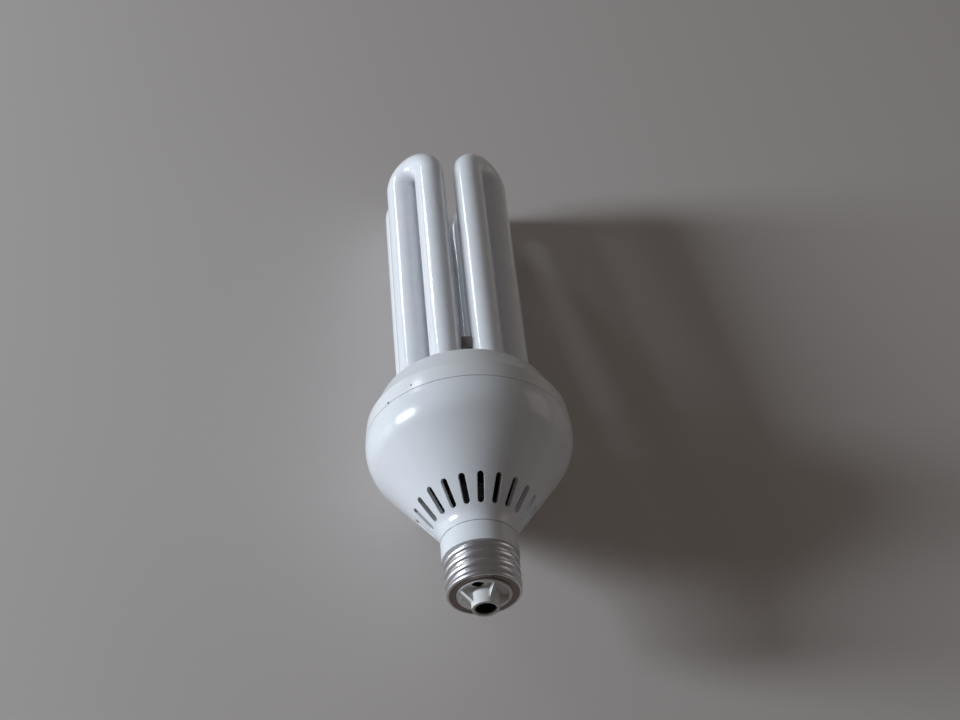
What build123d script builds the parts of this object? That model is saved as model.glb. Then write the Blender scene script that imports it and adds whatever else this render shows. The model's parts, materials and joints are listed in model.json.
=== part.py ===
"""Compact fluorescent bulb: four bent glass tubes on a vented ballast housing with a screw cap.

Every piece is drawn upright about the Z axis, with the tip of the cap at Z = 0 and the tubes above.
The finished pieces are then laid down together, as the bulb comes to rest on a table.
"""
import os
from math import acos, asin, atan2, cos, degrees, hypot, radians, sin, sqrt, tan

from build123d import *

# Glass tube: four U-shaped tubes in a ring, joined by short bridges
leg_radius = 5.9
leg_ring_radius = 19.6
leg_half_angle = 22.0
tube_count = 4
tube_tip_z = 204.6
leg_depth_in_cover = 10.0
bridge_radius = 3.3
bridge_height = 11.2
bridge_angles = (0, 90, 180)
open_pair_angle = 270

# Ballast housing: neck, vented cone and round belly
housing_wall = 1.8
neck_radius = 13.4
neck_bottom_z = 19.2
neck_top_z = 26.6
neck_groove_width = 0.5
neck_groove_depth = 0.35
shoulder_arc = 8.0
shoulder_rise = 0.35
belly_radius = 37.2
belly_z = 68.3
belly_lower_arc = 17.0
belly_upper_arc = 50.0
parting_z = 70.3
parting_groove_width = 0.2
parting_groove_depth = 0.25
spigot_wall = 1.5
spigot_length = 5.8

# Vent slots in the cone
slot_count = 20
slot_length = 10.6
slot_width = 2.3
slot_centre_z = 36.9

# Tube cover: a round wall, a sloping band behind a ledge, and a flat face with a hole for each leg
cover_wall = 1.8
cover_band_z = 77.6
cover_band_step = 0.45
cover_face_z = 89.5
cover_face_margin = 4.75
cover_edge_round = 5.0
cover_lip_length = 3.0
cover_lip_wall = 1.4
lip_clearance = 0.05
leg_hole_clearance = 0.25
cement_depth = 6.0
cement_wall = 1.2
cement_clearance = 0.05

# Screw cap: rolled thread on a thin metal shell
thread_crest_radius = 13.1
thread_root_radius = 12.05
thread_pitch = 3.63
thread_base_width = 3.1
shell_wall = 0.4
shell_bottom_z = 5.6
shell_bead_radius = 0.62
shell_rim_radius = 12.9
shell_flange_radius = 9.5
shell_flange_inset = 0.25
shell_clearance = 0.05
thread_runout = 1.6
thread_start_z = 2.8

# Cap insulator with its hollow centre boss
insulator_thickness = 2.0
boss_base_radius = 5.0
boss_tip_radius = 4.7
boss_bore_radius = 3.75
ring_outer_radius = 9.4
ring_inner_radius = 8.3
ring_height = 1.1
fin_count = 4
fin_angle = 21.0
fin_width = 1.3
fin_drop = 1.8
insulator_hole_radius = 2.15
insulator_hole_ring = 7.05
insulator_hole_angle = 66.0
contact_recess = 0.6
contact_length = 5.4
contact_wall = 0.4

# Circuit board and the posts that clamp it
board_margin = 0.8
board_thickness = 1.6
board_drop = 2.0
post_clearance = 0.75
post_depth = 1.8
post_width = 6.0
post_count = 4
post_angle = 0.0

# Ballast components on the underside of the board
pin_width = 0.6
can_radius = 6.5
can_length = 22.0
can_bevel = 0.8
can_place = (2.5, 4.0)
core_width = 19.0
core_height = 17.0
core_depth = 6.0
core_limb = 2.6
core_yoke = 2.8
core_place = (-16.0, 0.0)
bobbin_wall = 0.7
bobbin_flange = 1.0
winding_depth = 2.9
fit_gap = 0.1
film_size = (13.0, 5.5, 11.0)
film_place = (14.0, 14.0)
blocking_size = (11.0, 5.0, 10.0)
blocking_place = (12.0, -15.0)
film_bevel = 0.9
toroid_outer_radius = 5.0
toroid_inner_radius = 2.6
toroid_height = 4.5
toroid_place = (-3.0, 18.5)
inductor_radius = 4.2
inductor_length = 11.0
inductor_bevel = 0.8
inductor_place = (-15.0, 16.5)
transistor_size = (9.6, 4.4, 9.0)
transistor_tab = (9.6, 1.2, 6.0)
transistor_lead = (0.8, 0.5, 4.0)
transistor_lead_pitch = 2.54
transistor_lead_count = 3
transistor_places = ((18.0, 2.5), (3.0, -21.0))
diode_radius = 1.3
diode_length = 4.8
diode_span = 9.0
diode_place = (-11.0, -13.5)
diode_pitch = 3.6
diode_count = 4
fuse_radius = 2.0
fuse_length = 8.5
fuse_span = 12.5
fuse_place = (8.0, -8.5)

# Lead wires
wire_radius = 0.4
shell_lead_ring = 8.0
contact_lead_place = (9.5, -3.5)
contact_lead_turn_z = 34.0
contact_lead_centre_z = 24.0
electrode_spread = 2.2

# Search for the angle at which the bulb rests
rest_tilt_limit = 45.0
rest_tilt_step = 1e-7

# Values worked out from the driving dimensions
leg_reach = leg_ring_radius + leg_radius
cover_face_radius = leg_reach + cover_face_margin
cover_inner_z = cover_face_z - cover_wall
post_inner_radius = leg_reach + post_clearance
post_middle_radius = post_inner_radius + post_depth / 2
board_radius = post_inner_radius + post_depth + board_margin
board_top_z = parting_z - board_drop
board_bottom_z = board_top_z - board_thickness
leg_bottom_z = cover_face_z - leg_depth_in_cover
bend_radius = leg_ring_radius * sin(radians(leg_half_angle))
tube_plane_radius = leg_ring_radius * cos(radians(leg_half_angle))
bend_z = tube_tip_z - leg_radius - bend_radius
half_pitch = 180 / tube_count
tube_angles = [half_pitch * (2 * k + 1) for k in range(tube_count)]
leg_angles = [angle + side * leg_half_angle for angle in tube_angles for side in (-1, 1)]
shell_bore_radius = thread_root_radius - shell_wall
spigot_radius = shell_bore_radius - shell_clearance
neck_bore_radius = spigot_radius - spigot_wall
spigot_bottom_z = neck_bottom_z - spigot_length
shell_flange_z = shell_bottom_z + shell_flange_inset
insulator_face_z = shell_flange_z + shell_wall + shell_clearance
insulator_top_z = insulator_face_z + insulator_thickness
shoulder_z = neck_top_z + neck_groove_width + shoulder_rise

# The cone runs tangent to the hollow arc of the shoulder and to the lower arc of the belly
lower_centre_radius = belly_radius - belly_lower_arc
upper_centre_radius = belly_radius - belly_upper_arc
shoulder_centre_radius = neck_radius + shoulder_arc
centre_offset = shoulder_centre_radius - lower_centre_radius
centre_rise = belly_z - shoulder_z
centre_angle = atan2(centre_rise, centre_offset)
cone_angle = centre_angle - acos((belly_lower_arc + shoulder_arc) / hypot(centre_offset, centre_rise))
cone_start_radius = shoulder_centre_radius - shoulder_arc * cos(cone_angle)
cone_start_z = shoulder_z + shoulder_arc * sin(cone_angle)


def polar(radius, angle):
    """Point at a radius and an angle in degrees about the bulb's axis."""
    return (radius * cos(radians(angle)), radius * sin(radians(angle)))


def cone_z(radius, inset):
    """Height at which the cone, moved inwards by inset, has the given radius."""
    return cone_start_z + (radius + inset / cos(cone_angle) - cone_start_radius) / tan(cone_angle)


def upper_arc_radius(z, inset):
    """Radius of the belly above its widest ring, moved inwards by inset."""
    reach = belly_upper_arc - inset
    return upper_centre_radius + sqrt(reach**2 - (z - belly_z) ** 2)


def belly_curve(inset):
    """Adds the belly's two arcs to a line, from the cone up to the parting, moved inwards by inset."""
    lower_reach = belly_lower_arc - inset
    upper_reach = belly_upper_arc - inset
    upper_sweep = degrees(asin((parting_z - belly_z) / upper_reach))
    CenterArc((lower_centre_radius, belly_z), lower_reach, -degrees(cone_angle), degrees(cone_angle))
    CenterArc((upper_centre_radius, belly_z), upper_reach, 0, upper_sweep)


def cone_foot(inset):
    """Point where the cone, moved inwards by inset, meets the belly's lower arc."""
    reach = belly_lower_arc - inset
    return (lower_centre_radius + reach * cos(cone_angle), belly_z - reach * sin(cone_angle))


# Discharge tube: one sealed piece of glass
with BuildPart() as u_tube:
    with BuildLine(Plane.YZ.offset(tube_plane_radius)) as u_path:
        Line((-bend_radius, leg_bottom_z), (-bend_radius, bend_z))
        CenterArc((0, bend_z), bend_radius, 180, -180)
        Line((bend_radius, bend_z), (bend_radius, leg_bottom_z))
    with BuildSketch(Plane.XY.offset(leg_bottom_z)):
        with Locations((tube_plane_radius, -bend_radius)):
            Circle(leg_radius)
    sweep(path=u_path.line)

bridge_half_angle = half_pitch - leg_half_angle
bridge_ring = leg_ring_radius * cos(radians(bridge_half_angle))
bridge_length = 2 * leg_ring_radius * sin(radians(bridge_half_angle))
bridge_z = cover_face_z + bridge_height

with BuildPart() as discharge_tube:
    with PolarLocations(0, tube_count, start_angle=tube_angles[0]):
        add(u_tube.part)
    for angle in bridge_angles:
        bridge_plane = Plane((*polar(bridge_ring, angle), bridge_z), z_dir=(*polar(1, angle + 90), 0))
        with BuildSketch(bridge_plane):
            Circle(bridge_radius)
        extrude(amount=bridge_length / 2, both=True)

# Tube cover
cover_foot_z = parting_z + parting_groove_width
cover_foot_radius = upper_arc_radius(parting_z, parting_groove_depth)
cover_foot_angle = degrees(asin((cover_foot_z - belly_z) / belly_upper_arc))
cover_band_angle = degrees(asin((cover_band_z - belly_z) / belly_upper_arc))
cover_band_radius = upper_arc_radius(cover_band_z, 0)
lip_outer_radius = upper_arc_radius(parting_z, housing_wall) - lip_clearance
leg_places = [polar(leg_ring_radius, angle) for angle in leg_angles]

with BuildPart() as tube_cover:
    with BuildSketch(Plane.XZ):
        with BuildLine():
            foot = (cover_foot_radius, parting_z)
            groove_top = (cover_foot_radius, cover_foot_z)
            band_inner = (cover_band_radius - cover_band_step, cover_band_z)
            wall_sweep = cover_band_angle - cover_foot_angle
            Polyline(foot, groove_top, (upper_arc_radius(cover_foot_z, 0), cover_foot_z))
            CenterArc((upper_centre_radius, belly_z), belly_upper_arc, cover_foot_angle, wall_sweep)
            Polyline((cover_band_radius, cover_band_z), band_inner, (cover_face_radius, cover_face_z))
            Polyline((cover_face_radius, cover_face_z), (0, cover_face_z), (0, parting_z), foot)
        make_face()
    revolve(axis=Axis.Z)
    fillet(tube_cover.edges().filter_by(GeomType.CIRCLE).sort_by(Axis.Z)[-1], cover_edge_round)
    with BuildSketch(Plane.XZ):
        with BuildLine():
            inner_foot = (cover_foot_radius - cover_wall, parting_z)
            inner_band = (cover_band_radius - cover_wall, cover_band_z)
            inner_top = (cover_face_radius - cover_wall, cover_inner_z)
            Polyline(inner_foot, inner_band, inner_top, (0, cover_inner_z), (0, parting_z), inner_foot)
        make_face()
    revolve(axis=Axis.Z, mode=Mode.SUBTRACT)
    with BuildSketch(Plane.XY.offset(parting_z + cover_lip_length)):
        Circle(cover_foot_radius - cover_wall / 2)
        Circle(lip_outer_radius - cover_lip_wall, mode=Mode.SUBTRACT)
    extrude(amount=-cover_lip_length)
    with BuildSketch(Plane.XY.offset(parting_z)):
        Circle(lip_outer_radius)
        Circle(lip_outer_radius - cover_lip_wall, mode=Mode.SUBTRACT)
    extrude(amount=-cover_lip_length)
    with BuildSketch(Plane.XY.offset(board_top_z)):
        with PolarLocations(post_middle_radius, post_count, start_angle=post_angle):
            Rectangle(post_depth, post_width)
    extrude(amount=cover_inner_z - board_top_z)
    with BuildSketch(Plane.XY.offset(cover_face_z)):
        with Locations(*leg_places):
            Circle(leg_radius + leg_hole_clearance)
    extrude(amount=-2 * cover_wall, mode=Mode.SUBTRACT)

# Cement that holds the legs under the cover
with BuildPart() as tube_cement:
    with BuildSketch(Plane.XY.offset(cover_inner_z)):
        Circle(leg_reach + cement_clearance / 2)
        Circle(leg_ring_radius - leg_radius - cement_wall, mode=Mode.SUBTRACT)
        with Locations(*leg_places):
            Circle(leg_radius + cement_clearance, mode=Mode.SUBTRACT)
    extrude(amount=-cement_depth)

# Ballast housing: the cavity is turned first, with the board posts left standing in it
with BuildPart() as housing_cavity:
    with BuildSketch(Plane.XZ):
        with BuildLine():
            bore_foot = (neck_bore_radius, spigot_bottom_z)
            bore_top = (neck_bore_radius, cone_z(neck_bore_radius, housing_wall))
            inner_parting = (upper_arc_radius(parting_z, housing_wall), parting_z)
            Line((0, spigot_bottom_z), bore_foot)
            Line(bore_foot, bore_top)
            Line(bore_top, cone_foot(housing_wall))
            belly_curve(housing_wall)
            Line(inner_parting, (0, parting_z))
            Line((0, parting_z), (0, spigot_bottom_z))
        make_face()
    revolve(axis=Axis.Z)
    with BuildSketch(Plane.XY.offset(board_bottom_z)):
        with PolarLocations(post_middle_radius, post_count, start_angle=post_angle):
            Rectangle(post_depth, post_width)
    extrude(amount=-(board_bottom_z - shoulder_z), mode=Mode.SUBTRACT)

slot_radius = cone_start_radius + (slot_centre_z - cone_start_z) * tan(cone_angle)
slot_plane = Plane(
    (0, slot_radius, slot_centre_z),
    x_dir=(0, sin(cone_angle), cos(cone_angle)),
    z_dir=(0, cos(cone_angle), -sin(cone_angle)),
)

with BuildPart() as slot_cutter:
    with BuildSketch(slot_plane):
        SlotOverall(slot_length, slot_width)
    extrude(amount=2 * housing_wall, both=True)

with BuildPart() as ballast_housing:
    with BuildSketch(Plane.XZ):
        with BuildLine():
            groove_radius = neck_radius - neck_groove_depth
            Polyline(
                (0, spigot_bottom_z),
                (spigot_radius, spigot_bottom_z),
                (spigot_radius, neck_bottom_z),
                (neck_radius, neck_bottom_z),
                (neck_radius, neck_top_z),
                (groove_radius, neck_top_z),
                (groove_radius, neck_top_z + neck_groove_width),
                (neck_radius, neck_top_z + neck_groove_width),
                (neck_radius, shoulder_z),
            )
            CenterArc((shoulder_centre_radius, shoulder_z), shoulder_arc, 180, -degrees(cone_angle))
            Line((cone_start_radius, cone_start_z), cone_foot(0))
            belly_curve(0)
            Polyline((upper_arc_radius(parting_z, 0), parting_z), (0, parting_z), (0, spigot_bottom_z))
        make_face()
    revolve(axis=Axis.Z)
    add(housing_cavity.part, mode=Mode.SUBTRACT)
    with PolarLocations(0, slot_count):
        add(slot_cutter.part, mode=Mode.SUBTRACT)

# Screw shell: a rounded helical ridge on a thin tube, with a rolled bead and an inward flange at its end
ridge_foot_radius = thread_root_radius - shell_wall / 2
ridge_height = thread_crest_radius - ridge_foot_radius
runout_z = shell_bottom_z + 2 * shell_bead_radius
helix_length = neck_bottom_z - thread_start_z + thread_pitch / 2
trim_inner = ridge_foot_radius - ridge_height
trim_outer = thread_crest_radius + ridge_height
blank_top_z = neck_bottom_z + thread_pitch
blank_low_z = thread_start_z - thread_base_width
bead_centre_radius = shell_rim_radius - shell_bead_radius

with BuildPart() as screw_shell:
    with BuildSketch(Plane.XY.offset(blank_low_z)):
        Circle(thread_root_radius)
        Circle(shell_bore_radius, mode=Mode.SUBTRACT)
    extrude(amount=blank_top_z - blank_low_z)
    with BuildLine():
        thread_path = Helix(thread_pitch, helix_length, ridge_foot_radius, center=(0, 0, thread_start_z))
    with BuildSketch(Plane(thread_path @ 0, x_dir=(1, 0, 0), z_dir=thread_path % 0)):
        with BuildLine():
            ThreePointArc((0, -thread_base_width / 2), (ridge_height, 0), (0, thread_base_width / 2))
            Line((0, thread_base_width / 2), (0, -thread_base_width / 2))
        make_face()
    sweep(path=thread_path, is_frenet=True)
    with BuildSketch(Plane.XZ):
        Polygon(
            (trim_inner, neck_bottom_z),
            (trim_outer, neck_bottom_z),
            (trim_outer, blank_top_z + ridge_height),
            (trim_inner, blank_top_z + ridge_height),
            align=None,
        )
        Polygon(
            (trim_inner, blank_low_z - ridge_height),
            (trim_outer, blank_low_z - ridge_height),
            (trim_outer, runout_z + thread_runout * (trim_outer - thread_root_radius) / ridge_height),
            (thread_root_radius, runout_z),
            (trim_inner, runout_z),
            align=None,
        )
    revolve(axis=Axis.Z, mode=Mode.SUBTRACT)
    with BuildSketch(Plane.XY.offset(runout_z)):
        Circle(thread_root_radius)
        Circle(shell_bore_radius, mode=Mode.SUBTRACT)
    extrude(amount=shell_bottom_z + shell_bead_radius - runout_z)
    with BuildSketch(Plane.XZ):
        with Locations((bead_centre_radius, shell_bottom_z + shell_bead_radius)):
            Circle(shell_bead_radius)
    revolve(axis=Axis.Z)
    with BuildSketch(Plane.XY.offset(shell_flange_z)):
        Circle(bead_centre_radius)
        Circle(shell_flange_radius, mode=Mode.SUBTRACT)
    extrude(amount=shell_wall)

# Cap insulator: a disc behind the flange, with a ring, fins and a hollow boss
fin_root_radius = boss_tip_radius - fin_width
fin_end_radius = (ring_inner_radius + ring_outer_radius) / 2

with BuildPart() as fin:
    with BuildSketch(Plane.XZ):
        Polygon(
            (fin_root_radius, fin_drop),
            (boss_tip_radius, fin_drop),
            (fin_end_radius, insulator_face_z - ring_height),
            (fin_end_radius, insulator_face_z),
            (fin_root_radius, insulator_face_z),
            align=None,
        )
    extrude(amount=fin_width / 2, both=True)

with BuildPart() as cap_insulator:
    with BuildSketch(Plane.XY.offset(insulator_face_z)):
        Circle(shell_bore_radius - shell_clearance)
    extrude(amount=insulator_thickness)
    with BuildSketch(Plane.XY.offset(insulator_face_z)):
        Circle(ring_outer_radius)
        Circle(ring_inner_radius, mode=Mode.SUBTRACT)
    extrude(amount=-ring_height)
    with BuildSketch(Plane.XZ):
        Polygon(
            (0, 0),
            (boss_tip_radius, 0),
            (boss_base_radius, insulator_face_z),
            (0, insulator_face_z),
            align=None,
        )
    revolve(axis=Axis.Z)
    with PolarLocations(0, fin_count, start_angle=fin_angle):
        add(fin.part)
    with BuildSketch(Plane.XY):
        Circle(boss_bore_radius)
    extrude(amount=insulator_top_z, mode=Mode.SUBTRACT)
    with BuildSketch(Plane.XY.offset(insulator_top_z)):
        with Locations(polar(insulator_hole_ring, insulator_hole_angle)):
            Circle(insulator_hole_radius)
    extrude(amount=-insulator_thickness - 2 * ring_height, mode=Mode.SUBTRACT)

# Centre contact: a cup pressed into the boss, open towards the tip
contact_bottom_z = contact_recess + contact_length
with BuildPart() as centre_contact:
    with BuildSketch(Plane.XY.offset(contact_recess)):
        Circle(boss_bore_radius - shell_clearance)
    extrude(amount=contact_length)
    with BuildSketch(Plane.XY.offset(contact_recess)):
        Circle(boss_bore_radius - shell_clearance - contact_wall)
    extrude(amount=contact_length - contact_wall, mode=Mode.SUBTRACT)

# Circuit board
with BuildPart() as circuit_board:
    with BuildSketch(Plane.XY.offset(board_bottom_z)):
        Circle(board_radius)
    extrude(amount=board_thickness)

# Smoothing capacitor: an aluminium can
with BuildPart() as smoothing_capacitor:
    with BuildSketch(Plane.XY.offset(board_bottom_z)):
        with Locations(can_place):
            Circle(can_radius)
    extrude(amount=-can_length)
    chamfer(smoothing_capacitor.edges().filter_by(GeomType.CIRCLE).sort_by(Axis.Z)[0], can_bevel)

# Choke: ferrite core, bobbin and winding
core_bottom_z = board_bottom_z - bobbin_flange - core_height
core_mid_z = core_bottom_z + core_height / 2
window_height = core_height - 2 * core_yoke
centre_limb = 2 * core_limb
window_width = (core_width - 2 * core_limb - centre_limb) / 2
core_plane = Plane((*core_place, core_mid_z), x_dir=(0, 1, 0), z_dir=(1, 0, 0))

with BuildPart() as choke_core:
    with BuildSketch(core_plane):
        Rectangle(core_width, core_height)
        with GridLocations(centre_limb + window_width, 1, 2, 1):
            Rectangle(window_width, window_height, mode=Mode.SUBTRACT)
    extrude(amount=core_depth / 2, both=True)

tube_span = (core_depth + 2 * fit_gap, centre_limb + 2 * fit_gap)
bobbin_span = (tube_span[0] + 2 * bobbin_wall, tube_span[1] + 2 * bobbin_wall)
flange_span = (bobbin_span[0] + 2 * winding_depth, bobbin_span[1] + 2 * winding_depth)
bobbin_height = window_height - 2 * fit_gap

with BuildPart() as choke_bobbin:
    with BuildSketch(Plane.XY.offset(core_mid_z)):
        with Locations(core_place):
            Rectangle(*bobbin_span)
    extrude(amount=bobbin_height / 2, both=True)
    for end in (-1, 1):
        with BuildSketch(Plane.XY.offset(core_mid_z + end * (bobbin_height - bobbin_flange) / 2)):
            with Locations(core_place):
                Rectangle(*flange_span)
        extrude(amount=bobbin_flange / 2, both=True)
    with BuildSketch(Plane.XY.offset(core_mid_z)):
        with Locations(core_place):
            Rectangle(*tube_span)
    extrude(amount=bobbin_height, both=True, mode=Mode.SUBTRACT)
    with BuildSketch(Plane.XY.offset(board_bottom_z)):
        with Locations(core_place):
            with GridLocations(flange_span[0] - bobbin_flange, flange_span[1] - bobbin_flange, 2, 2):
                Rectangle(bobbin_flange, bobbin_flange)
    extrude(amount=core_mid_z + bobbin_height / 2 - board_bottom_z)

with BuildPart() as choke_winding:
    with BuildSketch(Plane.XY.offset(core_mid_z)):
        with Locations(core_place):
            RectangleRounded(flange_span[0] - bobbin_wall, flange_span[1] - bobbin_wall, winding_depth)
            Rectangle(bobbin_span[0] + fit_gap, bobbin_span[1] + fit_gap, mode=Mode.SUBTRACT)
    extrude(amount=bobbin_height / 2 - bobbin_flange - fit_gap, both=True)


def film_capacitor(size, place):
    """An upright film capacitor under the board, with bevelled corners."""
    with BuildPart() as block:
        with BuildSketch(Plane.XY.offset(board_bottom_z)):
            with Locations(place):
                Rectangle(size[0], size[1])
        extrude(amount=-size[2])
        chamfer(block.edges().filter_by(Axis.Z), film_bevel)
        chamfer(block.faces().sort_by(Axis.Z)[0].edges(), film_bevel)
    return block.part


# Drive transformer: a small ferrite ring
with BuildPart() as drive_toroid:
    with BuildSketch(Plane.XY.offset(board_bottom_z)):
        with Locations(toroid_place):
            Circle(toroid_outer_radius)
            Circle(toroid_inner_radius, mode=Mode.SUBTRACT)
    extrude(amount=-toroid_height)

# Line inductor in its sleeve
with BuildPart() as line_inductor:
    with BuildSketch(Plane.XY.offset(board_bottom_z)):
        with Locations(inductor_place):
            Circle(inductor_radius)
    extrude(amount=-inductor_length)
    chamfer(line_inductor.edges().filter_by(GeomType.CIRCLE).sort_by(Axis.Z)[0], inductor_bevel)

pieces = {
    "discharge_tube": discharge_tube.part,
    "tube_cover": tube_cover.part,
    "tube_cement": tube_cement.part,
    "ballast_housing": ballast_housing.part,
    "screw_shell": screw_shell.part,
    "cap_insulator": cap_insulator.part,
    "centre_contact": centre_contact.part,
    "circuit_board": circuit_board.part,
    "smoothing_capacitor": smoothing_capacitor.part,
    "choke_core": choke_core.part,
    "choke_bobbin": choke_bobbin.part,
    "choke_winding": choke_winding.part,
    "resonant_capacitor": film_capacitor(film_size, film_place),
    "blocking_capacitor": film_capacitor(blocking_size, blocking_place),
    "drive_toroid": drive_toroid.part,
    "line_inductor": line_inductor.part,
}

# Transistors: a moulded body with a metal tab, standing on three leads
body_top_z = board_bottom_z - transistor_lead[2]
for number, place in enumerate(transistor_places, start=1):
    with BuildPart() as transistor:
        with BuildSketch(Plane.XY.offset(board_bottom_z)):
            with Locations(place):
                with GridLocations(transistor_lead_pitch, 1, transistor_lead_count, 1):
                    Rectangle(transistor_lead[0], transistor_lead[1])
        extrude(amount=-transistor_lead[2])
        with BuildSketch(Plane.XY.offset(body_top_z)):
            with Locations(place):
                Rectangle(transistor_size[0], transistor_size[1])
        extrude(amount=-transistor_size[2])
        with BuildSketch(Plane.XY.offset(body_top_z - transistor_size[2])):
            with Locations((place[0], place[1] + (transistor_size[1] - transistor_tab[1]) / 2)):
                Rectangle(transistor_tab[0], transistor_tab[1])
        extrude(amount=-transistor_tab[2])
    pieces[f"transistor_{number}"] = transistor.part


def axial_component(place, body_radius, body_length, span):
    """A lying round body on a straight lead, with a pin at each end of the lead up to the board."""
    body_z = board_bottom_z - body_radius - pin_width
    lengthwise = Plane((*place, body_z), x_dir=(0, 1, 0), z_dir=(1, 0, 0))
    with BuildPart() as component:
        with BuildSketch(lengthwise):
            Circle(body_radius)
        extrude(amount=body_length / 2, both=True)
        with BuildSketch(lengthwise):
            Rectangle(pin_width, pin_width)
        extrude(amount=(span + pin_width) / 2, both=True)
        with BuildSketch(Plane.XY.offset(board_bottom_z)):
            with Locations(place):
                with GridLocations(span, 1, 2, 1):
                    Rectangle(pin_width, pin_width)
        extrude(amount=body_z - board_bottom_z)
    return component.part


# Rectifier diodes in a row, and the fuse resistor
for number in range(diode_count):
    place = (diode_place[0], diode_place[1] - number * diode_pitch)
    pieces[f"diode_{number + 1}"] = axial_component(place, diode_radius, diode_length, diode_span)
pieces["fuse_resistor"] = axial_component(fuse_place, fuse_radius, fuse_length, fuse_span)


def lead_wire(*points):
    """A round wire along straight runs between the given points."""
    with BuildPart() as wire:
        with BuildLine():
            route = Polyline(*points)
        with BuildSketch(Plane(route @ 0, z_dir=route % 0)):
            Circle(wire_radius)
        sweep(path=route, transition=Transition.RIGHT)
    return wire.part


# One lead runs to the wall of the screw shell under the end of the spigot, the other to the centre contact
shell_lead_z = (insulator_top_z + spigot_bottom_z) / 2
pieces["shell_lead"] = lead_wire(
    (0, -shell_lead_ring, board_bottom_z),
    (0, -shell_lead_ring, shell_lead_z),
    (0, -shell_bore_radius + shell_clearance, shell_lead_z),
)
pieces["contact_lead"] = lead_wire(
    (*contact_lead_place, board_bottom_z),
    (*contact_lead_place, contact_lead_turn_z),
    (0, 0, contact_lead_centre_z),
    (0, 0, contact_bottom_z),
)

# Electrode leads: two from each of the legs that no bridge joins, down to the board
open_leg_angles = [open_pair_angle + side * bridge_half_angle for side in (-1, 1)]
lead_places = [
    (polar(leg_ring_radius, angle)[0] + shift, polar(leg_ring_radius, angle)[1])
    for angle in open_leg_angles
    for shift in (-electrode_spread, electrode_spread)
]
for number, place in enumerate(lead_places, start=1):
    with BuildPart() as electrode_lead:
        with BuildSketch(Plane.XY.offset(board_top_z)):
            with Locations(place):
                Circle(wire_radius)
        extrude(amount=leg_bottom_z - board_top_z)
    pieces[f"electrode_lead_{number}"] = electrode_lead.part


side_share = sin(radians(half_pitch))


def belly_reach(tilt):
    """How far the belly reaches below the tip of the cap, with the tubes tilted down by tilt."""
    return upper_centre_radius * cos(tilt) + belly_z * sin(tilt) + belly_upper_arc


def tube_reach(tilt):
    """How far the two lower tubes reach below the tip of the cap, with the tubes tilted down by tilt."""
    bend_reach = bend_radius * hypot(side_share * cos(tilt), sin(tilt))
    return tube_plane_radius * side_share * cos(tilt) + bend_z * sin(tilt) + bend_reach + leg_radius


# The bulb rests on its belly and its two lower tubes: the tilt at which both reach equally low
tilt_low = 0.0
tilt_high = radians(rest_tilt_limit)
while tilt_high - tilt_low > rest_tilt_step:
    rest_tilt = (tilt_low + tilt_high) / 2
    if belly_reach(rest_tilt) > tube_reach(rest_tilt):
        tilt_low = rest_tilt
    else:
        tilt_high = rest_tilt

# The middle of the resting length, from the boss at one end to the upper tubes at the other
near_end = -boss_tip_radius * sin(rest_tilt)
far_end = (
    bend_z * cos(rest_tilt)
    + tube_plane_radius * side_share * sin(rest_tilt)
    + bend_radius * hypot(cos(rest_tilt), side_share * sin(rest_tilt))
    + leg_radius
)
rest_plane = Plane(
    (0, -(near_end + far_end) / 2, belly_reach(rest_tilt)),
    x_dir=(-1, 0, 0),
    z_dir=(0, cos(rest_tilt), -sin(rest_tilt)),
)

os.makedirs("parts", exist_ok=True)
for name, piece in pieces.items():
    laid_piece = piece.moved(rest_plane.location)
    laid_piece.label = name
    export_step(laid_piece, f"parts/{name}.step")
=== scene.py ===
"""Looks of the compact fluorescent bulb: materials, a smooth screw shell, floor, light and camera."""
import json
from math import atan2, cos, exp, log1p, pi, radians, sin, sqrt

import bpy
from mathutils import Matrix, Quaternion, Vector


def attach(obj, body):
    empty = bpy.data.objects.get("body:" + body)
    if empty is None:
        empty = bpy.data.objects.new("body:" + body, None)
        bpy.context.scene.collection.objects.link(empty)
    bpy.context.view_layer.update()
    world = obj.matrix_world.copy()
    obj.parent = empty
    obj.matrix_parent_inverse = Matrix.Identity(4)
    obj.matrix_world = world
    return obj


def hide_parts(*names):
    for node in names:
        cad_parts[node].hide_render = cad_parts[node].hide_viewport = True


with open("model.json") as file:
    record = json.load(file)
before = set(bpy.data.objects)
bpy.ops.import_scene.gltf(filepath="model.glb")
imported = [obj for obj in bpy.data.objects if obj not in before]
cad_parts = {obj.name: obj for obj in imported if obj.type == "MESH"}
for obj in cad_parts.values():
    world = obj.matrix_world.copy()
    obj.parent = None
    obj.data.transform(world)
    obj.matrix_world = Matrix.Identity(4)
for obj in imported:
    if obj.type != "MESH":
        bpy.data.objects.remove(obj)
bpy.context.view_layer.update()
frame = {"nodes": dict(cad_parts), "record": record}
record = frame["record"]

# The bulb's own frame: the screw cap's mount gives its axis and the place where the metal meets the neck
cap_mount = record["mounts"][0]
cap_place = Vector(cap_mount["pos_m"])
tube_direction = -Vector(cap_mount["axis"])
axis_tilt = atan2(-tube_direction.z, tube_direction.y)
bulb_turn = Matrix.Rotation(axis_tilt, 3, "X")
above_axis = Vector((0, -tube_direction.z, tube_direction.y))

# Camera, fitted to the rings and outlines of the bulb in the photograph
camera_place = Vector((-0.0643, -0.3413, 0.5399))
camera_aim = Vector((0.0119, 0.0287, 0.0))
camera_roll = radians(8.9)
camera_lens = 61.875

# Light: a soft window low on the left, a faint one behind it, a fainter glow from the right and a dim room
light_distance = 1.5
daylight = (0.84, 0.92, 1.0)
lamplight = (1.0, 0.92, 0.86)
room_colour = (1.0, 0.90, 0.84)
room_strength = 0.09
floor_width = 6.0
floor_colour = (0.60, 0.555, 0.53)
floor_roughness = 0.5

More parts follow.
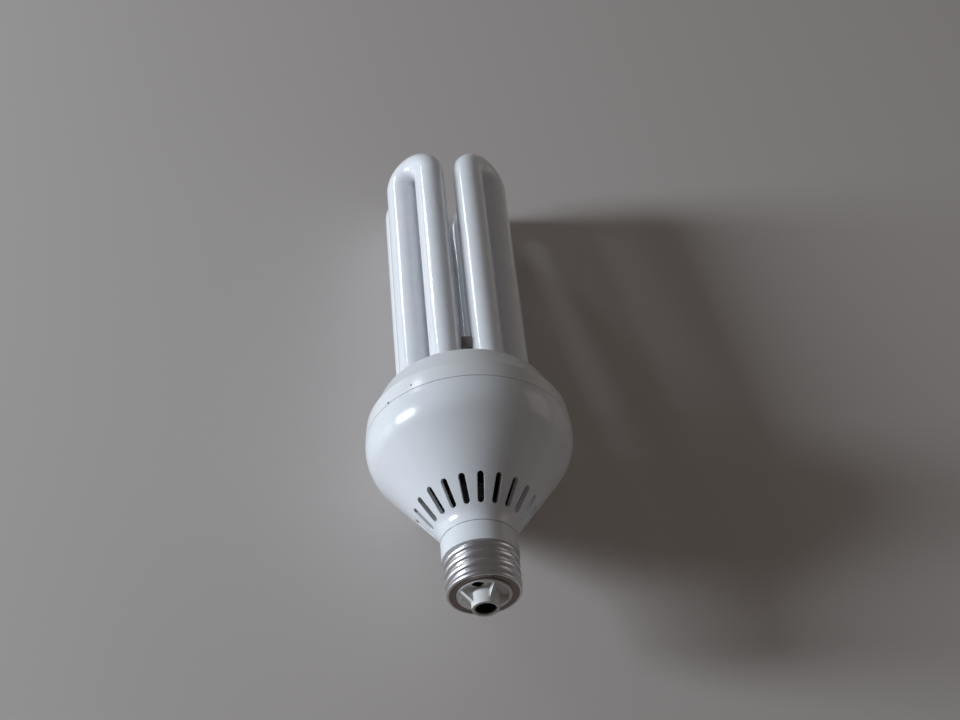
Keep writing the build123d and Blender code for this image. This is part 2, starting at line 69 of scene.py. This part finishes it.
# Places on the bulb that its materials need, in metres: across, along from the neck's end, above the axis
bridge_along = 0.0815
bridge_half_width = 0.0035
bridge_half_gap = 0.0021
specks = (((-0.0299, 0.0517, 0.0221), 0.0006), ((-0.0222, 0.0534, 0.0296), 0.0005))
hole_place = (-0.00287, 0, 0.00644)
hole_radius = 0.00225
hole_mouth_along = -0.0131
flange_along = -0.0127
flange_radius = 0.0121
plastic_edge_radius = 0.0003
insulator_edge_radius = 0.0004

# Colours painted at one place alone: dirt specks, the flange's dark brown, and painted shade on the bridges'
# bare glass and inside the insulator's hole
dirt_colour = (0.10, 0.06, 0.04)
# painted shade: the bridges' bare glass is painted dark for the shade seen through it
bare_glass_shade_colour = (0.22, 0.21, 0.19)
dark_flange_colour = (0.22, 0.18, 0.165)
# painted shade inside the insulator's hole
hole_shade_colour = (0.012, 0.01, 0.01)

# Screw shell, in millimetres: distances from the axis, and heights along it from the tip of the cap
neck_end_height = 19.2
shell_end_height = 5.6
shell_wall = 0.4
bead_radius = 0.62
rim_radius = 12.9
flange_inner_radius = 9.5
flange_height = 5.85
thread_root = 12.05
thread_crest = 13.1
thread_pitch = 3.63
thread_start_height = 2.8
ridge_radius = 1.586
runout_slope = 0.78
root_fillet = 0.1
millimetre = 0.001

# Mesh of the screw shell: turns round the axis, steps along each stretch of its outline, and its sharp edges
turn_count = 240
flange_steps = 8
bead_steps = 32
thread_steps = 200
bore_steps = 8
flange_back_steps = 4
sharp_angle = radians(50)

# Limit on the exponent in the thread's fillet, which keeps it within the range of a float
largest_exponent = 50

# Plain surfaces: two colours, grain of the mottling in metres, range of roughness and share of metal
matt_looks = {
    "contact_metal": ((0.02, 0.018, 0.017), (0.04, 0.033, 0.03), 0.001, (0.4, 0.6), 0.6),
    "cement": ((0.78, 0.77, 0.73), (0.70, 0.69, 0.64), 0.002, (0.6, 0.8), 0.0),
    "board": ((0.45, 0.30, 0.14), (0.36, 0.23, 0.10), 0.003, (0.45, 0.6), 0.0),
    "can_sleeve": ((0.05, 0.05, 0.06), (0.03, 0.03, 0.04), 0.004, (0.3, 0.4), 0.0),
    "ferrite": ((0.06, 0.06, 0.065), (0.04, 0.04, 0.045), 0.001, (0.6, 0.75), 0.0),
    "bobbin_plastic": ((0.06, 0.06, 0.06), (0.04, 0.04, 0.04), 0.002, (0.5, 0.6), 0.0),
    "copper_wire": ((0.60, 0.27, 0.12), (0.45, 0.18, 0.07), 0.0006, (0.25, 0.4), 1.0),
    "film_case": ((0.50, 0.12, 0.06), (0.40, 0.08, 0.04), 0.003, (0.25, 0.35), 0.0),
    "moulding": ((0.04, 0.04, 0.045), (0.03, 0.03, 0.03), 0.001, (0.55, 0.7), 0.0),
    "tinned_wire": ((0.60, 0.60, 0.60), (0.48, 0.48, 0.47), 0.001, (0.3, 0.45), 1.0),
}


def new_object(name, data):
    """An object in the scene with the given mesh, light or camera."""
    added = bpy.data.objects.new(name, data)
    bpy.context.scene.collection.objects.link(added)
    return added


def area_light(name, direction, width, height, power, colour):
    """A soft rectangular light that faces the middle of the floor."""
    light = bpy.data.lights.new(name, "AREA")
    light.shape = "RECTANGLE"
    light.size = width
    light.size_y = height
    light.energy = power
    light.color = colour
    light_object = new_object(name, light)
    light_object.location = Vector(direction).normalized() * light_distance
    light_object.rotation_mode = "QUATERNION"
    light_object.rotation_quaternion = (-Vector(direction)).to_track_quat("-Z", "Y")


def new_material(name, colour=(0.8, 0.8, 0.8), **sockets):
    """A material with its node tree and its main shader, whose sockets are named in lower case."""
    material = bpy.data.materials.new(name)
    material.use_nodes = True
    shader = material.node_tree.nodes["Principled BSDF"]
    by_name = {socket.name.lower().replace(" ", "_"): socket for socket in shader.inputs}
    by_name["base_color"].default_value = (*colour, 1)
    for socket_name, value in sockets.items():
        by_name[socket_name].default_value = value
    return material, material.node_tree, shader


def bulb_position(tree):
    """Position in the bulb's own frame: X across, Y along the axis towards the tubes, Z above the axis."""
    where = tree.nodes.new("ShaderNodeTexCoord")
    turned = tree.nodes.new("ShaderNodeMapping")
    turned.inputs["Rotation"].default_value = (axis_tilt, 0, 0)
    turned.inputs["Location"].default_value = -(bulb_turn @ cap_place)
    tree.links.new(where.outputs["Object"], turned.inputs["Vector"])
    return turned.outputs["Vector"]


def noise(tree, position, grain, detail=3.0):
    """Noise between 0 and 1 with features about one grain across, in metres."""
    texture = tree.nodes.new("ShaderNodeTexNoise")
    texture.inputs["Scale"].default_value = 1 / grain
    texture.inputs["Detail"].default_value = detail
    tree.links.new(position, texture.inputs["Vector"])
    return texture.outputs["Fac"]


def spread(tree, amount, low, high, start=0.3, end=0.7):
    """Stretches an amount from start to end over the range from low to high."""
    stretched = tree.nodes.new("ShaderNodeMapRange")
    stretched.inputs["From Min"].default_value = start
    stretched.inputs["From Max"].default_value = end
    stretched.inputs["To Min"].default_value = low
    stretched.inputs["To Max"].default_value = high
    tree.links.new(amount, stretched.inputs["Value"])
    return stretched.outputs["Result"]


def arithmetic(tree, operation, first, second=0.0):
    """One operation on two amounts, the second of which may be a plain number."""
    step = tree.nodes.new("ShaderNodeMath")
    step.operation = operation
    tree.links.new(first, step.inputs[0])
    if isinstance(second, float):
        step.inputs[1].default_value = second
    else:
        tree.links.new(second, step.inputs[1])
    return step.outputs["Value"]


def colour_between(tree, amount, first, second):
    """Colour that goes from the first to the second, each a colour or a socket, with the amount."""
    mixed = tree.nodes.new("ShaderNodeMixRGB")
    tree.links.new(amount, mixed.inputs["Fac"])
    for colour, socket in ((first, mixed.inputs["Color1"]), (second, mixed.inputs["Color2"])):
        if isinstance(colour, tuple):
            socket.default_value = (*colour, 1)
        else:
            tree.links.new(colour, socket)
    return mixed.outputs["Color"]


def near(tree, position, place, radius, softness=0.4):
    """One inside a small ball round a place and nought outside it."""
    distance = tree.nodes.new("ShaderNodeVectorMath")
    distance.operation = "DISTANCE"
    distance.inputs[1].default_value = place
    tree.links.new(position, distance.inputs[0])
    return spread(tree, distance.outputs["Value"], 1, 0, (1 - softness) * radius, radius)


def without_length(tree, position):
    """Position in the bulb's own frame with its place along the axis left out."""
    flattened = tree.nodes.new("ShaderNodeVectorMath")
    flattened.operation = "MULTIPLY"
    flattened.inputs[1].default_value = (1, 0, 1)
    tree.links.new(position, flattened.inputs[0])
    return flattened.outputs["Vector"]


def separate(tree, position):
    """The three parts of a position."""
    parts = tree.nodes.new("ShaderNodeSeparateXYZ")
    tree.links.new(position, parts.inputs["Vector"])
    return parts.outputs


def relief(tree, shader, height, depth, edge_radius=None):
    """Bumps of the given depth in metres, over edges that look rounded by the edge radius."""
    bump = tree.nodes.new("ShaderNodeBump")
    bump.inputs["Distance"].default_value = depth
    tree.links.new(height, bump.inputs["Height"])
    if edge_radius:
        rounded = tree.nodes.new("ShaderNodeBevel")
        rounded.samples = 8
        rounded.inputs["Radius"].default_value = edge_radius
        tree.links.new(rounded.outputs["Normal"], bump.inputs["Normal"])
    tree.links.new(bump.outputs["Normal"], shader.inputs["Normal"])


def gloss_plastic(name, clean, soiled, marks=()):
    """Glossy white moulding with faint smears, a very fine moulded grain and small specks of dirt."""
    material, tree, shader = new_material(name, ior=1.5)
    position = bulb_position(tree)
    smears = noise(tree, position, grain=0.012)
    colour = colour_between(tree, spread(tree, smears, 0, 1), clean, soiled)
    for place, radius in marks:
        colour = colour_between(tree, near(tree, position, place, radius), colour, dirt_colour)
    tree.links.new(colour, shader.inputs["Base Color"])
    tree.links.new(spread(tree, smears, low=0.17, high=0.23), shader.inputs["Roughness"])
    relief(tree, shader, noise(tree, position, grain=0.0009), depth=0.000002, edge_radius=plastic_edge_radius)
    return material


def tube_glass(name):
    """Clear glass over a white powder coat; at the bridges between the tubes the glass is bare of powder and
    painted dark, as painted shade seen through it.
    """
    material, tree, shader = new_material(
        name,
        ior=1.5,
        coat_weight=1.0,
        coat_roughness=0.03,
        roughness=0.4,
        subsurface_weight=0.6,
        subsurface_radius=(1, 1, 1),
        subsurface_scale=0.006,
    )
    position = bulb_position(tree)
    powder = noise(tree, position, grain=0.006)
    white = colour_between(tree, spread(tree, powder, 0, 1), (0.84, 0.86, 0.89), (0.80, 0.82, 0.86))
    parts = separate(tree, position)
    across = arithmetic(tree, "ABSOLUTE", parts["X"])
    above = arithmetic(tree, "ABSOLUTE", parts["Z"])
    aside = arithmetic(tree, "MINIMUM", across, above)
    along = arithmetic(tree, "ABSOLUTE", arithmetic(tree, "SUBTRACT", parts["Y"], bridge_along))
    between_legs = arithmetic(tree, "LESS_THAN", aside, bridge_half_gap)
    at_bridge = arithmetic(tree, "LESS_THAN", along, bridge_half_width)
    bare_shaded_glass = arithmetic(tree, "MULTIPLY", between_legs, at_bridge)
    # Painted shade: the bare glass at the bridges gets a dark colour that stands for the shade seen through
    # it
    tree.links.new(colour_between(tree, bare_shaded_glass, white, bare_glass_shade_colour), shader.inputs["Base Color"])
    relief(tree, shader, noise(tree, position, grain=0.004, detail=1.0), depth=0.000006)
    return material


def cap_metal(name):
    """Bright rolled sheet with duller scuffs, dark brown on the flange at its end."""
    material, tree, shader = new_material(name, metallic=1.0)
    position = bulb_position(tree)
    scuffs = noise(tree, position, grain=0.004)
    bright = colour_between(tree, spread(tree, scuffs, 0, 1), (0.76, 0.75, 0.77), (0.66, 0.64, 0.66))
    inside = near(tree, without_length(tree, position), (0, 0, 0), flange_radius, softness=0.02)
    at_end = arithmetic(tree, "LESS_THAN", separate(tree, position)["Y"], flange_along)
    dark_flange = arithmetic(tree, "MULTIPLY", inside, at_end)
    tree.links.new(colour_between(tree, dark_flange, bright, dark_flange_colour), shader.inputs["Base Color"])
    tree.links.new(spread(tree, scuffs, low=0.28, high=0.36), shader.inputs["Roughness"])
    return material


def insulator_plastic(name):
    """Dusty satin moulding, with painted shade inside its hole."""
    material, tree, shader = new_material(name)
    position = bulb_position(tree)
    dust = noise(tree, position, grain=0.004)
    colour = colour_between(tree, spread(tree, dust, 0, 1), (0.80, 0.80, 0.80), (0.70, 0.69, 0.67))
    # Painted shade: the walls of the hole are painted near black, where the hole lies deep and unlit
    in_line = near(tree, without_length(tree, position), hole_place, hole_radius, softness=0.04)
    behind_mouth = arithmetic(tree, "GREATER_THAN", separate(tree, position)["Y"], hole_mouth_along)
    painted_hole_shade = arithmetic(tree, "MULTIPLY", in_line, behind_mouth)
    tree.links.new(colour_between(tree, painted_hole_shade, colour, hole_shade_colour), shader.inputs["Base Color"])
    tree.links.new(spread(tree, dust, low=0.30, high=0.45), shader.inputs["Roughness"])
    relief(tree, shader, dust, depth=0.00001, edge_radius=insulator_edge_radius)
    return material


def matt_piece(name, colour, other, grain, roughness, metallic):
    """A plain surface with a mottled colour and a fine relief."""
    material, tree, shader = new_material(name, metallic=metallic)
    mottle = noise(tree, bulb_position(tree), grain)
    mottled = colour_between(tree, spread(tree, mottle, 0, 1), colour, other)
    tree.links.new(mottled, shader.inputs["Base Color"])
    tree.links.new(spread(tree, mottle, *roughness), shader.inputs["Roughness"])
    relief(tree, shader, mottle, depth=0.00002)
    return material


materials = {
    "tube_glass": tube_glass("tube_glass"),
    "housing_plastic": gloss_plastic("housing_plastic", (0.77, 0.795, 0.83), (0.745, 0.765, 0.795)),
    "cover_plastic": gloss_plastic("cover_plastic", (0.775, 0.795, 0.82), (0.755, 0.765, 0.775), specks),
    "cap_metal": cap_metal("cap_metal"),
    "insulator_plastic": insulator_plastic("insulator_plastic"),
}
for name, look in matt_looks.items():
    materials[name] = matt_piece(name, *look)

for subpart in record["subparts"]:
    node_mesh = frame["nodes"][subpart["node"]].data
    node_mesh.materials.clear()
    node_mesh.materials.append(materials[subpart["material_slot"]])

# Screw shell as one smooth skin: flange, rolled bead, round thread that runs out above the bead, and bore
bead_middle = (rim_radius - bead_radius, shell_end_height + bead_radius)
flange_drop = flange_height - bead_middle[1]
wall_inset = thread_root - bead_middle[0]
flange_meets_bead = atan2(flange_drop, -sqrt(bead_radius**2 - flange_drop**2))
wall_meets_bead = atan2(sqrt(bead_radius**2 - wall_inset**2), wall_inset)
runout_height = shell_end_height + 2 * bead_radius
bore_radius = thread_root - shell_wall
flange_top = flange_height + shell_wall


def ramp(amount):
    """Nought below nought and the amount above it, with a small fillet between the two."""
    return root_fillet * log1p(exp(min(amount / root_fillet, largest_exponent)))


def thread_radius(angle, height):
    """Distance of the thread's surface from the axis."""
    turned = height - thread_start_height - thread_pitch * angle / (2 * pi)
    offset = (turned + thread_pitch / 2) % thread_pitch - thread_pitch / 2
    ridge = thread_crest - ridge_radius + sqrt(max(ridge_radius**2 - offset**2, 0))
    rise = ramp(ridge - thread_root)
    limit = runout_slope * (height - runout_height)
    return thread_root + max(rise - ramp(rise - limit), 0)


def steps(first, last, count):
    """Even steps from the first value up to but without the last."""
    return [first + (last - first) * step / count for step in range(count)]


def shell_outline(angle):
    """Outline of the shell's wall at one angle, from the flange's edge out and up, then down its bore."""
    bead_inner_radius = bead_middle[0] - bead_radius
    outline = []
    for radius in steps(flange_inner_radius, bead_inner_radius, flange_steps):
        outline.append((radius, flange_height))
    for turn in steps(flange_meets_bead, wall_meets_bead, bead_steps):
        outline.append((bead_middle[0] + bead_radius * cos(turn), bead_middle[1] + bead_radius * sin(turn)))
    for height in steps(runout_height, neck_end_height, thread_steps) + [neck_end_height]:
        outline.append((thread_radius(angle, height), height))
    for height in steps(neck_end_height, flange_top, bore_steps):
        outline.append((bore_radius, height))
    for radius in steps(bore_radius, flange_inner_radius, flange_back_steps):
        outline.append((radius, flange_top))
    outline.append((flange_inner_radius, flange_top))
    return outline


shell_outlines = [shell_outline(2 * pi * turn / turn_count) for turn in range(turn_count)]
row_length = len(shell_outlines[0])
shell_points = []
for turn, outline in enumerate(shell_outlines):
    angle = 2 * pi * turn / turn_count
    outward = sin(angle) * above_axis - cos(angle) * Vector((1, 0, 0))
    for radius, height in outline:
        along = (height - neck_end_height) * tube_direction
        shell_points.append(cap_place + millimetre * (along + radius * outward))
shell_faces = []
for turn in range(turn_count):
    here = turn * row_length
    beyond = (turn + 1) % turn_count * row_length
    for place in range(row_length):
        after = (place + 1) % row_length
        shell_faces.append((here + place, beyond + place, beyond + after, here + after))
shell_mesh = bpy.data.meshes.new("rolled_shell")
shell_mesh.from_pydata(shell_points, [], shell_faces)
shell_mesh.shade_smooth()
shell_mesh.set_sharp_from_angle(angle=sharp_angle)
shell_mesh.materials.append(materials["cap_metal"])
rolled_shell = new_object("rolled_shell", shell_mesh)
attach(rolled_shell, "root")
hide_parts("screw_shell")

# Floor: a plain pale table top
half_width = floor_width / 2
floor_corners = [
    (-half_width, -half_width, 0),
    (half_width, -half_width, 0),
    (half_width, half_width, 0),
    (-half_width, half_width, 0),
]
floor_mesh = bpy.data.meshes.new("floor")
floor_mesh.from_pydata(floor_corners, [], [(0, 1, 2, 3)])
floor = new_object("floor", floor_mesh)
floor_mesh.materials.append(new_material("table_top", floor_colour, roughness=floor_roughness)[0])

# Light
area_light("window", (-0.940, 0.02, 0.342), width=0.26, height=0.50, power=21.0, colour=daylight)
area_light("back_window", (-0.63, 0.72, 0.26), width=0.20, height=0.24, power=1.6, colour=daylight)
area_light("far_wall", (0.94, 0.25, 0.30), width=1.0, height=0.7, power=1.2, colour=lamplight)

room = bpy.data.worlds.new("room")
room.use_nodes = True
room.node_tree.nodes["Background"].inputs["Color"].default_value = (*room_colour, 1)
room.node_tree.nodes["Background"].inputs["Strength"].default_value = room_strength
bpy.context.scene.world = room

# Camera
camera = bpy.data.cameras.new("camera")
camera.lens = camera_lens
camera_object = new_object("camera", camera)
camera_object.location = camera_place
camera_object.rotation_mode = "QUATERNION"
level_turn = (camera_aim - camera_place).to_track_quat("-Z", "Y")
camera_object.rotation_quaternion = level_turn @ Quaternion((0, 0, 1), camera_roll)
bpy.context.scene.camera = camera_object
bpy.context.scene.view_settings.view_transform = "Standard"
